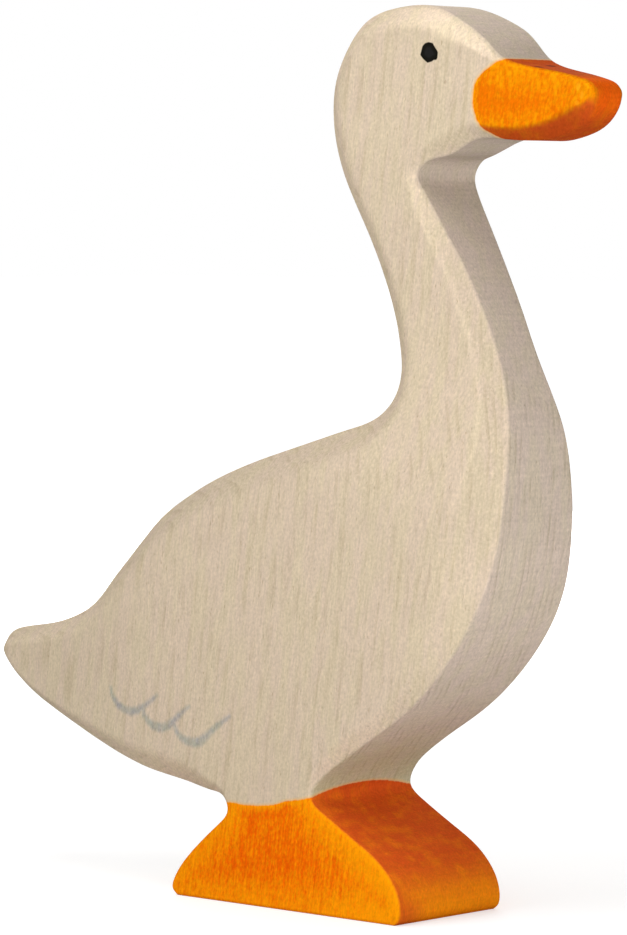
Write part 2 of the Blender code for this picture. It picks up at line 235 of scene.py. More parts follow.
BACK = (
    (0.0239, 0.0883, 0.0042, 0.0035),
    (0.0180, 0.0860, 0.0043, 0.0037),
    (0.0071, 0.0827, 0.0043, 0.0037),
    (-0.0034, 0.0795, 0.0043, 0.0037),
    (-0.0133, 0.0759, 0.0043, 0.0037),
    (-0.0208, 0.0722, 0.0042, 0.0037),
)
RUMP = (
    (-0.0275, 0.0679, 0.0040, 0.0036),
    (-0.0328, 0.0631, 0.0038, 0.0035),
    (-0.0402, 0.0562, 0.0036, 0.0034),
    (-0.0449, 0.0518, 0.0034, 0.0032),
    (-0.0500, 0.0492, 0.0031, 0.0031),
)
TAIL = (
    (-0.0570, 0.0472, 0.0028, 0.0029),
    (-0.0648, 0.0460, 0.0025, 0.0028),
    (-0.0692, 0.0442, 0.0022, 0.0027),
    (-0.0703, 0.0415, 0.0020, 0.0026),
    (-0.0686, 0.0384, 0.0019, 0.0026),
    (-0.0653, 0.0355, 0.0019, 0.0026),
)
BELLY_UNDER = (
    (-0.0605, 0.0327, 0.0021, 0.0027),
    (-0.0543, 0.0300, 0.0025, 0.0029),
    (-0.0472, 0.0272, 0.0030, 0.0031),
    (-0.0391, 0.0243, 0.0037, 0.0034),
    (-0.0300, 0.0219, 0.0042, 0.0036),
    (-0.0200, 0.0205, 0.0040, 0.0031),
)
BACK_OF_FOOT = (
    (-0.0120, 0.0196, 0.0022, 0.0015),
    (-0.0080, 0.0185, 0.0010, 0.0006),
    (-0.0073, 0.0168, 0.0008, 0.0005),
    (-0.0092, 0.0143, 0.0008, 0.0005),
    (-0.0135, 0.0109, 0.0008, 0.0005),
    (-0.0175, 0.0073, 0.0008, 0.0005),
    (-0.0205, 0.0034, 0.0007, 0.0004),
    (-0.0210, 0.0013, 0.0006, 0.0003),
    (-0.0196, 0.0000, 0.0005, 0.0003),
)

# The stain on the beak: its edge on the side, from the top down, closed round the beak.
BEAK_STAIN_EDGE = (
    (0.0522, 0.1502),
    (0.0507, 0.1495),
    (0.0483, 0.1477),
    (0.0470, 0.1463),
    (0.0465, 0.1441),
    (0.0465, 0.1421),
    (0.0473, 0.1398),
    (0.0484, 0.1382),
    (0.0500, 0.1371),
    (0.0515, 0.1363),
)
ROUND_THE_BEAK = ((0.0515, 0.1300), (0.0800, 0.1300), (0.0800, 0.1600), (0.0522, 0.1600))

# The height of the stain on the foot along X, and how much higher it stands mid-board at the front.
FOOT_STAIN_HEIGHT = (
    (-0.0078, 0.0180),
    (-0.0055, 0.0183),
    (-0.0030, 0.0180),
    (0.0010, 0.0182),
    (0.0048, 0.0187),
    (0.0075, 0.0196),
    (0.0108, 0.0201),
    (0.0130, 0.0206),
)
FOOT_STAIN_ARCH = 0.0018
FOOT_STAIN_ARCH_FROM = 0.0118
FOOT_STAIN_ARCH_TO = 0.0138

# The eye's painted outline, clockwise from its top.
EYE = (
    (0.0366, 0.1533),
    (0.0375, 0.1531),
    (0.0380, 0.1524),
    (0.0387, 0.1516),
    (0.0386, 0.1505),
    (0.0383, 0.1501),
    (0.0378, 0.1502),
    (0.0373, 0.1499),
    (0.0363, 0.1497),
    (0.0353, 0.1504),
    (0.0346, 0.1511),
    (0.0349, 0.1519),
    (0.0351, 0.1526),
    (0.0357, 0.1531),
)

# The three brush strokes on the wing: x, z and the stroke's width at points along each.
WING_STROKES = (
    (
        (-0.0370, 0.0367, 0.0004),
        (-0.0365, 0.0352, 0.0007),
        (-0.0351, 0.0337, 0.0010),
        (-0.0332, 0.0329, 0.0012),
        (-0.0312, 0.0327, 0.0013),
        (-0.0294, 0.0331, 0.0012),
        (-0.0276, 0.0341, 0.0007),
        (-0.0259, 0.0351, 0.0005),
        (-0.0246, 0.0362, 0.0003),
    ),
    (
        (-0.0281, 0.0335, 0.0006),
        (-0.0279, 0.0323, 0.0008),
        (-0.0266, 0.0311, 0.0011),
        (-0.0251, 0.0304, 0.0014),
        (-0.0234, 0.0303, 0.0015),
        (-0.0217, 0.0308, 0.0013),
        (-0.0200, 0.0320, 0.0010),
        (-0.0183, 0.0334, 0.0007),
        (-0.0164, 0.0347, 0.0003),
    ),
    (
        (-0.0201, 0.0312, 0.0006),
        (-0.0195, 0.0298, 0.0008),
        (-0.0183, 0.0289, 0.0010),
        (-0.0168, 0.0284, 0.0013),
        (-0.0149, 0.0282, 0.0015),
        (-0.0132, 0.0287, 0.0014),
        (-0.0115, 0.0300, 0.0010),
        (-0.0101, 0.0311, 0.0009),
        (-0.0084, 0.0323, 0.0008),
        (-0.0062, 0.0337, 0.0004),
    ),
)

# The camera: where it looks, from how far and which way in degrees, and the lens that frames the
# figure, as a focal length in pixels of the picture.
CAMERA_TARGET = Vector((0.0017, 0.0, 0.07815))
CAMERA_DISTANCE = 0.8098
CAMERA_AZIMUTH = 42.8
CAMERA_ELEVATION = 3.2
SENSOR_HEIGHT = 36.0
FRAME_HEIGHT_PX = 935
FOCAL_LENGTH_PX = 4500

# Millimetres in a metre.
MM = 1000.0

# The studio: the light from all round, and the floor. Near the figure the floor glows less than
# white for the camera, so that its shadow shows.
AMBIENT = 0.22
FLOOR_REACH = 6.0
FLOOR_COLOUR = (0.60, 0.60, 0.60, 1.0)
FLOOR_GLOW = 0.54
GLOW_NEAR = 0.12
GLOW_FAR = 0.6

# The lamps: azimuth and elevation in degrees, the height that they aim at on the figure's middle,
# their distance and size, and the level that they light to.
LAMPS = {
    "key": (-17.2, 30.0, 0.09, 0.30, 0.21, 0.33),
    "top": (12.8, 75.0, 0.09, 0.30, 0.21, 0.33),
    "near_fill": (42.8, 0.0, 0.06, 0.30, 0.21, 0.35),
    "front_fill": (72.8, 0.0, 0.06, 0.30, 0.21, 0.225),
    "rear": (215.0, 18.0, 0.09, 1.00, 0.80, 0.60),
}

# The wood, in millimetres: where the tree's heart was and about how far from the figure, how far the
# fibres lean towards the beak for each millimetre up, and the growth rings' spacing. The height of
# the grain is in metres.
HEART_X = -145.0
HEART_Y = -290.0
HEART_DISTANCE = 320.0
FIBRE_LEAN = 0.14
RING_SPACING = 1.24
GRAIN_HEIGHT = 0.00003

# Noise runs between about 0 and 1.
NOISE_MEAN = 0.5
FINE_DETAIL = 3.0

# Sizes of the noise in millimetres: across the tree's rings, along them and up the fibres.
RING_WANDER = (14.0, 14.0, 45.0)
RING_WIGGLE = (3.0, 3.0, 12.0)
RING_FADE = (1.8, 4.0, 9.0)
TINT_CLOUDS = (2.2, 3.0, 14.0)
PORES = (0.26, 0.36, 1.5)
FIBRES = (0.22, 0.34, 3.0)
MOTTLE = (0.45, 0.45, 0.55)
STAIN_BLOTCHES = (0.6, 0.6, 0.9)
STAIN_STREAKS = (0.5, 0.7, 6.0)
STAIN_CLOUDS = (2.5, 2.5, 4.0)

# Sizes of the noise in millimetres along X, Y and Z.
SAW_MARKS = (0.6, 15.0, 0.6)
WASH_CLOUDS = (3.0, 3.0, 3.0)

# How far noise moves the growth rings and the stain's edge, in millimetres.
RING_WANDER_BY = 3.0
RING_WIGGLE_BY = 0.7
RAGGED_BY = 0.3

# Ramps run from a start to an end, with the results there where those aren't 0 and 1.
# Over a year, for the growth rings:
LATE_WOOD_RISE = (0.30, 0.88)
LATE_WOOD_DROP = (0.88, 1.0, 1.0, 0.0)

# Over noise, or a sum of noises:
RINGS_FADED = (0.40, 0.68)
TINT_RAMP = (0.36, 0.64)
PORE_RAMP = (0.66, 0.74)
STAIN_YELLOW = (0.36, 0.76)
STAIN_DEEP_PATCHES = (0.25, 0.60, 0.75, 1.0)
INK_PATCHES = (0.30, 0.65, 1.0, 0.7)
WASH_RAMP = (0.40, 0.60)

# Over a place, or over the distance to a mark's edge, in millimetres:
SAWN_RINGS_HEIGHT = (85.0, 110.0, 0.14, -0.30)
# Painted shade on the sawn edge, full near the foot's stain and gone this far above it.
BOUNCE_SHADE_ABOVE_STAIN = (14.0, 2.0)
BEAK_HEIGHT = (60.0, 80.0)
FOOT_YELLOW_LENGTH = (8.0, 30.0)
THIN_INSIDE_STAIN = (-1.6, -0.2)
THIN_INSIDE_OUTLINE = (8.0, 0.5)
DEEP_HEIGHT = (1.0, 11.0, 0.32, 1.0)
DEEP_NEAR_SIDE = (-12.5, -4.0, 0.85, 0.30)
TIP_LENGTH = (64.0, 67.5)
TIP_HEIGHT = (138.5, 142.5)
STAIN_EDGE = (-0.15, 0.15, 1.0, 0.0)
BLEED_EDGE = (0.05, 0.60, 0.55, 0.0)
EYE_EDGE = (-0.10, 0.08, 1.0, 0.0)
EYE_GREY_MIDDLE_INSIDE = (-1.1, -0.5, 1.0, 0.0)
INK_EDGE = (-0.42, 0.62, 1.0, 0.0)

# Over the distance from a speck's middle, in its half sizes:
SPECK_EDGE = (0.6, 1.2, 1.0, 0.0)

# The tone that each gives the wood: how much it adds, and the level from which it does.
FIBRE_TONE = (0.38, 0.81)
MOTTLE_TONE = (0.48, 0.76)
SAW_TONE = (0.20, 1.0)
# The last is painted light and shade, which lightens and darkens every finish.
PAINTED_LIGHT_TONE = (0.18, 1.0)

# How much each makes the stain yellower.
YELLOW_BLOTCHES = 0.48
YELLOW_STREAKS = 0.37
YELLOW_CLOUDS = 0.13
YELLOW_TO_FRONT = 0.09
YELLOW_WHERE_THIN = 0.16
YELLOW_ON_BEAK = -0.18

# How strongly rings, pores and rubbed spots show, and the finish: the roughness from the fibres as a
# part and a level, what the eye's paint adds to it, and the mottle's part in the bumps.
RINGS_SHOWN = 0.42
PORES_SHOWN = 0.45
RUBBED_SHOWN = 0.45
ROUGHNESS_OF_FIBRES = (0.16, 0.88)
ROUGHNESS_OF_EYE = -0.30
MOTTLE_IN_GRAIN = 0.5
SPECULAR = 0.01

# Specks on the beak: their middles and half sizes in millimetres. Two are dark wood on its top, and
# three are light rubbed spots on each side of it, near the tip.
DARK_SPECKS = (
    ((57.2, -3.4, 148.75), (0.45, 1.1, 1.0)),
    ((55.8, 1.5, 149.05), (0.50, 1.4, 1.0)),
)
RUBBED_SPECKS = (
    ((66.4, 4.2, 145.1), (0.55, 1.5, 0.70)),
    ((67.4, 4.5, 143.7), (0.40, 1.5, 0.75)),
    ((66.5, 4.8, 142.4), (0.50, 1.5, 0.45)),
)

# Colours, in linear light.
WHITE = (1.0, 1.0, 1.0, 1.0)
WOOD_PINK = (0.625, 0.503, 0.382, 1.0)
WOOD_GREEN = (0.614, 0.509, 0.360, 1.0)
LATE_WOOD = (0.440, 0.345, 0.225, 1.0)
# A painted cool light on the sawn edge, bluer than the sides.
SAWN_COOL_LIGHT = (0.990, 1.005, 1.100, 1.0)
# Painted shade above the foot's stain, greener, against the orange light that the foot throws there.
BOUNCE_SHADE_TINT = (0.850, 0.980, 0.800, 1.0)
PORE_BROWN = (0.330, 0.215, 0.130, 1.0)
BEAK_BRIGHT = (0.830, 0.330, 0.0020, 1.0)
BEAK_ORANGE = (0.720, 0.150, 0.0010, 1.0)
FOOT_BRIGHT = (0.930, 0.310, 0.0020, 1.0)
FOOT_ORANGE = (0.820, 0.110, 0.0010, 1.0)
STAIN_DEEP = (0.600, 0.082, 0.0110, 1.0)
STAIN_BLEED = (0.800, 0.480, 0.1500, 1.0)
STAIN_TIP = (0.880, 0.122, 0.0050, 1.0)
SPECK_BROWN = (0.090, 0.018, 0.0060, 1.0)
RUBBED_YELLOW = (0.920, 0.400, 0.0120, 1.0)
EYE_BLACK = (0.0085, 0.0080, 0.0060, 1.0)
EYE_GREY_MIDDLE = (0.0150, 0.0142, 0.0135, 1.0)
WING_BLUE = (0.590, 0.690, 0.880, 1.0)
WING_GREY = (0.610, 0.740, 0.830, 1.0)


def ease(value, start, end):
    """0 at start, 1 at end, and smooth in between."""
    share = np.clip((value - start) / (end - start), 0.0, 1.0)
    return share * share * (3.0 - 2.0 * share)


def half_thickness(x, z):
    """Half of the wood's thickness at a point of the side view, away from the facets."""
    behind = np.clip((NECK_AXIS_X - x) / NECK_AXIS_REACH, 0.0, 1.0)
    reach = NECK_AXIS_REACH * behind**2 / 2 + np.maximum(NECK_AXIS_X - NECK_AXIS_REACH - x, 0.0)
    neck = ease(z - NECK_TAPER_CLIMB * reach, NECK_TAPER_LOW, NECK_TAPER_HIGH)
    head = ease(z, HEAD_TAPER_LOW, HEAD_TAPER_HIGH)
    beak = ease(x, BEAK_TAPER_ROOT, BEAK_TAPER_TIP) * head
    tail = ease(-x, -TAIL_TAPER_ROOT, -TAIL_TAPER_TIP) * (1.0 - neck)
    half = BODY_HALF + (NECK_HALF - BODY_HALF) * neck + (HEAD_HALF - NECK_HALF) * head
    half = half + (BEAK_HALF - HEAD_HALF + BEAK_LEAN * (BEAK_MIDDLE_Z - z)) * beak
    return half - TAIL_THINNING * tail


def spline_through(knots, samples):
    """Points on the natural cubic spline through the knots, whose columns are blended alike."""
    knots = np.array(knots)
    chords = np.linalg.norm(np.diff(knots[:, :2], axis=0), axis=1)
    at = np.concatenate(([0.0], np.cumsum(chords)))
    count = len(knots)
    system = np.eye(count)
    right = np.zeros_like(knots)
    for i in range(1, count - 1):
        before, after = chords[i - 1], chords[i]
        system[i, i - 1 : i + 2] = before, 2 * (before + after), after
        right[i] = 6 * ((knots[i + 1] - knots[i]) / after - (knots[i] - knots[i - 1]) / before)
    bend = np.linalg.solve(system, right)
    where = np.linspace(0.0, at[-1], samples)
    span = np.clip(np.searchsorted(at, where, side="right") - 1, 0, count - 2)
    length = chords[span][:, None]
    ahead = (at[span + 1] - where)[:, None] / length
    past = 1.0 - ahead
    curved = (ahead**3 - ahead) * bend[span] + (past**3 - past) * bend[span + 1]
    return ahead * knots[span] + past * knots[span + 1] + curved * length**2 / 6


def spaced_by_curvature(points, count):
    """The fine points thinned out: close together where the outline turns, far apart elsewhere."""
    steps = np.diff(points[:, :2], axis=0)
    lengths = np.linalg.norm(steps, axis=1)
    heading = np.unwrap(np.arctan2(steps[:, 1], steps[:, 0]))
    turn = np.abs(np.gradient(heading)) / lengths
    chord = np.sqrt(8 * CHORD_SAG / np.maximum(turn, STRAIGHT_TURN))
    wanted = np.clip(chord, SHORTEST_STEP, LONGEST_STEP)
    travelled = np.concatenate(([0.0], np.cumsum(lengths / wanted)))
    stops = np.linspace(0.0, travelled[-1], count)
    return np.column_stack([np.interp(stops, travelled, column) for column in points.T])


def outline_points():
    """The closed outline: x, z, facet width and facet depth at each point."""
    landmarks = (
        FRONT_OF_FOOT + BELLY_FRONT + BREAST + NECK_FRONT + THROAT_AND_CHIN + BEAK_UNDER + BEAK_TIP
        + BEAK_TOP + FOREHEAD + CROWN + BACK_OF_HEAD + BACK_OF_NECK + BACK + RUMP + TAIL
        + BELLY_UNDER + BACK_OF_FOOT
    )
    fine = spline_through(landmarks, SAMPLES_PER_LANDMARK * len(landmarks))
    around = spaced_by_curvature(fine, OUTLINE_POINTS)
    sole_steps = math.ceil((around[0, 0] - around[-1, 0]) / LONGEST_STEP)
    along = np.linspace(0.0, 1.0, sole_steps + 1)[1:-1, None]
    sole = around[-1] + (around[0] - around[-1]) * along
    return np.vstack([around, sole])


def inward_normals(outline):
    tangent = np.roll(outline[:, :2], -1, axis=0) - np.roll(outline[:, :2], 1, axis=0)
    tangent /= np.linalg.norm(tangent, axis=1)[:, None]
    return np.column_stack([-tangent[:, 1], tangent[:, 0]])


def side_rings(outline):
    """Rings of points from mid-board over the crease and the facet to the side, with what colours them.

    Wear is 1 on the sawn edge and on wide facets, which take more stain. Painted light is how much
    lighter or darker the wood is painted for light and shade on facets that face up and forward: a
    painted highlight on the head's facets and on the line where the lower facets run into the side,
    painted shade on those lower facets, with the spots of painted light and shade added to it. Sawn
    is 1 on the sawn edge alone.
    """
    normal = inward_normals(outline)
    width = outline[:, 2]
    depth = np.maximum(outline[:, 3], LEAST_FACET_DEPTH)
    slant = np.hypot(width, depth)
    radius = np.minimum(CREASE_RADIUS, CREASE_SHARE_OF_FACET * slant)
    edge = half_thickness(outline[:, 0], outline[:, 1]) - depth
    facing = ease(-normal @ PAINTED_LIGHT_DIRECTION, *PAINTED_LIGHT_REACH)
    head = ease(outline[:, 1], HEAD_TAPER_LOW, HEAD_TAPER_HIGH)
    wide = ease(width, *WORN_FACET_WIDTH) * ease(outline[:, 1], 0.0, WORN_ABOVE_SOLE)

    def ring(offset, half):
        place = outline[:, :2] + normal * offset[:, None]
        return np.column_stack([place[:, 0], -half, place[:, 1]])

    nothing = np.zeros_like(width)
    # Spots of painted light and shade, on the sawn edge and on the facet.
    sawn_painted_light, facet_painted_light = nothing, nothing
    for x, z, reach, on_edge, on_facet in PAINTED_LIGHT_SPOTS:
        apart = np.hypot(outline[:, 0] - x, outline[:, 1] - z)
        near = 1.0 - ease(apart, SPOT_CORE * reach, reach)
        sawn_painted_light = sawn_painted_light + near * on_edge
        facet_painted_light = facet_painted_light + near * on_facet
    rings = [ring(nothing, (edge - radius) * station) for station in BAND_STATIONS]
    wear = [nothing + 1.0] * len(rings)
    painted_light = [sawn_painted_light] * len(rings)
    sawn = [nothing + 1.0] * len(rings)
    for share in CREASE_STATIONS:
        eased_in = radius * width / slant * share**2
        eased_up = radius * depth / slant * share**2
        rings.append(ring(eased_in, edge - radius * (1 - share) ** 2 + eased_up))
        wear.append(1.0 - share * (1.0 - wide))
        painted_light.append(sawn_painted_light + (facet_painted_light - sawn_painted_light) * share)
        sawn.append(nothing + 1.0 - share)
    crease_end = radius / slant
    stations = [crease_end + (1.0 - crease_end) * share for share in FACET_STATIONS]
    for station in stations + [nothing + share for share in BEYOND_FACET]:
        offset = width * station
        place = outline[:, :2] + normal * offset[:, None]
        side = half_thickness(place[:, 0], place[:, 1])
        facet = edge + (side - edge) * station
        blend = FACET_SOFTNESS * depth
        mix = np.clip(0.5 + 0.5 * (side - facet) / blend, 0.0, 1.0)
        rings.append(ring(offset, side * (1 - mix) + facet * mix - blend * mix * (1 - mix)))
        wear.append(wide * (1.0 - ease(station, *WORN_FACET_END)))
        on_facet = 1.0 - ease(station, 1.0, BEYOND_FACET[-1])
        # Painted highlights on the head's facets and along the crease, painted shade on the lower
        # facets.
        on_crease = 1.0 - ease(np.abs(offset - width), 0.0, PAINTED_HIGHLIGHT_CREASE_WIDTH)
        on_head = PAINTED_HIGHLIGHT_ON_HEAD * head * on_facet
        below_head = (1.0 - head) * (PAINTED_SHADE_ON_FACET * on_facet + PAINTED_HIGHLIGHT_ON_CREASE * on_crease)
        painted_light.append(facing * (on_head + below_head) + facet_painted_light * on_facet)
        sawn.append(nothing)
    return rings, wear, painted_light, sawn


def inside(points, polygon):
    """Which points lie inside a closed polygon."""
    crossings = np.zeros(len(points), dtype=bool)
    for (x0, z0), (x1, z1) in zip(polygon, np.roll(polygon, -1, axis=0)):
        if z0 == z1:
            continue
        across = (points[:, 1] < z0) != (points[:, 1] < z1)
        at_x = x0 + (points[:, 1] - z0) * (x1 - x0) / (z1 - z0)
        crossings ^= across & (points[:, 0] < at_x)
    return crossings


def gap_to_line(points, line, closed=False):
    """The distance from each point to a line of points, less half of its width where it has one."""
    line = np.array(line)
    ends = np.roll(line, -1, axis=0)
    pairs = list(zip(line, ends)) if closed else list(zip(line[:-1], ends[:-1]))
    nearest = np.full(len(points), np.inf)
    for start, end in pairs:
        run = end[:2] - start[:2]
        share = np.clip((points - start[:2]) @ run / (run @ run), 0.0, 1.0)
        gap = np.linalg.norm(points - start[:2] - share[:, None] * run, axis=1)
        if line.shape[1] > 2:
            gap = gap - (start[2] + share * (end[2] - start[2])) / 2
        nearest = np.minimum(nearest, gap)
    return nearest


def gap_to_shape(points, polygon):
    """The distance to a closed shape's edge, negative inside it."""
    gap = gap_to_line(points, polygon, closed=True)
    return np.where(inside(points, np.array(polygon)), -gap, gap)


def staggered_grid(low, high, step):
    rows = np.arange(low[1], high[1], step * math.sqrt(3) / 2)
    return np.array([
        (x + (index % 2) * step / 2, z)
        for index, z in enumerate(rows)
        for x in np.arange(low[0], high[0], step)
    ])


def side_points(boundary):
    """Points on the side inside the last ring: a coarse grid, and a fine one under the painted marks."""
    grid = staggered_grid(boundary.min(axis=0), boundary.max(axis=0), SIDE_GRID)
    grid = grid[inside(grid, boundary)]
    grid = grid[gap_to_line(grid, boundary, closed=True) > SIDE_GRID / 2]
    marks = [np.array(EYE)] + [np.array(stroke)[:, :2] for stroke in WING_STROKES]
    for mark in marks:
        low, high = mark.min(axis=0) - PAINT_MARGIN, mark.max(axis=0) + PAINT_MARGIN
        grid = grid[~np.all((grid > low) & (grid < high), axis=1)]
    fine = []
    for index, mark in enumerate(marks):
        low, high = mark.min(axis=0) - PAINT_MARGIN, mark.max(axis=0) + PAINT_MARGIN
        patch = staggered_grid(low + PAINT_GRID, high, PAINT_GRID)
        for other in marks[:index]:
            low, high = other.min(axis=0) - PAINT_MARGIN, other.max(axis=0) + PAINT_MARGIN
            patch = patch[~np.all((patch > low) & (patch < high), axis=1)]
        fine.append(patch)
    return np.vstack([grid, *fine])


def half_mesh():
    """The near half's points, faces, what colours them, and how many points the ring at mid-board has.

    That ring's points come first.
    """
    rings, *layers = side_rings(outline_points())
    count = len(rings[0])
    faces = []
    for first in range(0, (len(rings) - 1) * count, count):
        for i in range(count):
            j = (i + 1) % count
            faces.append((first + i, first + j, first + count + j, first + count + i))
    boundary = rings[-1][:, (0, 2)]
    inner = side_points(boundary)
    places = [Vector((float(x), float(z))) for x, z in np.vstack([boundary, inner])]
    edges = [(i, (i + 1) % count) for i in range(count)]
    _, _, triangles, sources, _, _ = delaunay_2d_cdt(places, edges, [], 1, SAME_POINT)
    last_ring = (len(rings) - 1) * count
    target = [last_ring + source[0] for source in sources]
    faces += [tuple(target[i] for i in triangle) for triangle in triangles]
    side = np.column_stack([inner[:, 0], -half_thickness(inner[:, 0], inner[:, 1]), inner[:, 1]])
    layers = [np.concatenate([*layer, np.zeros(len(inner))]) for layer in layers]
    return np.vstack([*rings, side]), faces, layers, count


def whole_mesh():
    """The points and faces of both halves, joined at mid-board, and what colours them."""
    points, faces, layers, shared = half_mesh()
    mirrored = points[shared:] * (1, -1, 1)
    moved = len(points) - shared
    other = [tuple(i if i < shared else i + moved for i in reversed(face)) for face in faces]
    layers = [np.concatenate([layer, layer[shared:]]) for layer in layers]
    return np.vstack([points, mirrored]), faces + other, layers


def sanded(points, normals):
    """The points moved in by shallow waves, as hand sanding leaves them, with the sole left flat."""
    inward = np.zeros(len(points))
    for depth, length in SANDING_WAVES:
        waves = np.array([noise.noise(Vector(point / length)) for point in points])
        inward += depth * (0.5 + 0.5 * waves)
    inward *= ease(points[:, 2], 0.0, SANDING_ABOVE)
    low, high = (np.array(corner) for corner in cad_box)
    return np.clip(points - normals * inward[:, None], low, high)


def foot_gap(points):
    """How far each point lies above the edge of the foot's stain."""
    along, height = np.array(FOOT_STAIN_HEIGHT).T
    across = np.clip(np.abs(points[:, 1]) / BODY_HALF, 0.0, 1.0)
    front = ease(points[:, 0], FOOT_STAIN_ARCH_FROM, FOOT_STAIN_ARCH_TO)
    arch = FOOT_STAIN_ARCH * (1 - across**2) * front
    return points[:, 2] - np.interp(points[:, 0], along, height) - arch


def build_goose():
    points, faces, (wear, painted_light, sawn) = whole_mesh()
    mesh = bpy.data.meshes.new("goose_figure")
    mesh.from_pydata(points.tolist(), [], faces)
    mesh.update()
    normals = np.array([vertex.normal for vertex in mesh.vertices])
    mesh.vertices.foreach_set("co", sanded(points, normals).ravel())
    mesh.update()
    flat = points[:, (0, 2)]
    outline = outline_points()[:, :2]
    strokes = [gap_to_line(flat, stroke) for stroke in WING_STROKES]
    half = half_thickness(points[:, 0], points[:, 2])
    on_edge = (np.abs(points[:, 1]) < half * UNPAINTED_SHARE) * UNPAINTED_GAP
    attributes = {
        "beak_gap": gap_to_shape(flat, BEAK_STAIN_EDGE + ROUND_THE_BEAK) * MM,
        "foot_gap": foot_gap(points) * MM,
        "eye_gap": (gap_to_shape(flat, EYE) + on_edge) * MM,
        "wing_gap": (np.minimum.reduce(strokes) + on_edge) * MM,
        "edge_gap": gap_to_line(flat, outline, closed=True) * MM,
        "wear": wear,
        # How much lighter or darker the wood is painted for light and shade.
        "painted_light": painted_light,
        "sawn": sawn,
    }
    for name, values in attributes.items():
        layer = mesh.attributes.new(name, "FLOAT", "POINT")
        layer.data.foreach_set("value", values.astype(np.float32))
    mesh.shade_smooth()
    goose = bpy.data.objects.new("goose_figure", mesh)
    bpy.context.scene.collection.objects.link(goose)
    return goose


class Graph:
    """Adds nodes to an emptied tree. A value is plugged in if it is a socket, and set if it isn't."""

    def __init__(self, owner):
        owner.use_nodes = True
        self.tree = owner.node_tree
        self.tree.nodes.clear()

    def add(self, kind, inputs, **settings):
        node = self.tree.nodes.new(kind)
        for name, value in settings.items():
            setattr(node, name, value)
        for key, value in inputs.items():
            if isinstance(value, bpy.types.NodeSocket):
                self.tree.links.new(value, node.inputs[key])
            else:
                node.inputs[key].default_value = value
        return node

    def math(self, operation, *values):
        return self.add("ShaderNodeMath", dict(enumerate(values)), operation=operation).outputs[0]

    def vector(self, operation, *values):
        node = self.add("ShaderNodeVectorMath", dict(enumerate(values)), operation=operation)
        return node.outputs["Vector"]

    def scaled(self, vector, factor):
        node = self.add("ShaderNodeVectorMath", {0: vector, "Scale": factor}, operation="SCALE")
        return node.outputs["Vector"]

    def axes(self, vector):
        return self.add("ShaderNodeSeparateXYZ", {"Vector": vector}).outputs

    def length(self, vector):
        node = self.add("ShaderNodeVectorMath", {0: vector}, operation="LENGTH")
        return node.outputs["Value"]

    def attribute(self, name):
        return self.add("ShaderNodeAttribute", {}, attribute_name=name).outputs["Fac"]

    def noise(self, vector, sizes, detail=2.0):
        """Noise between about 0 and 1, with features of about these sizes along each axis."""
        stretched = self.vector("DIVIDE", vector, sizes)
        inputs = {"Vector": stretched, "Scale": 1.0, "Detail": detail, "Roughness": 0.5}
        return self.add("ShaderNodeTexNoise", inputs).outputs["Fac"]

    def step(self, value, start, end, low=0.0, high=1.0):
        """low at start, high at end, and smooth in between."""
        inputs = {"Value": value, "From Min": start, "From Max": end, "To Min": low, "To Max": high}
        node = self.add("ShaderNodeMapRange", inputs, interpolation_type="SMOOTHSTEP")
        return node.outputs["Result"]

    def mix(self, share, first, second, blend="MIX"):
        node = self.add("ShaderNodeMix", {}, data_type="RGBA", blend_type=blend)
        for socket, value in ((0, share), (6, first), (7, second)):
            if isinstance(value, bpy.types.NodeSocket):
                self.tree.links.new(value, node.inputs[socket])
            else:
                node.inputs[socket].default_value = value
        return node.outputs[2]


def place_in_tree(graph, here):
    """Where a point lay in the tree, in millimetres: across the rings, along them and up the fibres."""
    axes = graph.axes(here)
    leant = graph.math("MULTIPLY_ADD", axes["Z"], -FIBRE_LEAN, axes["X"])
    x = graph.math("SUBTRACT", leant, HEART_X)
    y = graph.math("SUBTRACT", axes["Y"], HEART_Y)
    squares = graph.math("ADD", graph.math("MULTIPLY", x, x), graph.math("MULTIPLY", y, y))
    across = graph.math("SQRT", squares)
    along = graph.math("MULTIPLY", graph.math("ARCTAN2", y, x), HEART_DISTANCE)
    place = {"X": across, "Y": along, "Z": axes["Z"]}
    return graph.add("ShaderNodeCombineXYZ", place).outputs["Vector"]


def growth_rings(graph, tree):
    """0 in early wood and up to 1 in the thin dark line of late wood that ends each year."""
    across = graph.axes(tree)["X"]
    across = graph.math("MULTIPLY_ADD", graph.noise(tree, RING_WANDER), RING_WANDER_BY, across)
    across = graph.math("MULTIPLY_ADD", graph.noise(tree, RING_WIGGLE), RING_WIGGLE_BY, across)
    year = graph.math("FRACT", graph.math("DIVIDE", across, RING_SPACING))
    rise = graph.step(year, *LATE_WOOD_RISE)
    drop = graph.step(year, *LATE_WOOD_DROP)
    faded = graph.step(graph.noise(tree, RING_FADE), *RINGS_FADED)
    return graph.math("MULTIPLY", graph.math("MULTIPLY", rise, drop), faded)


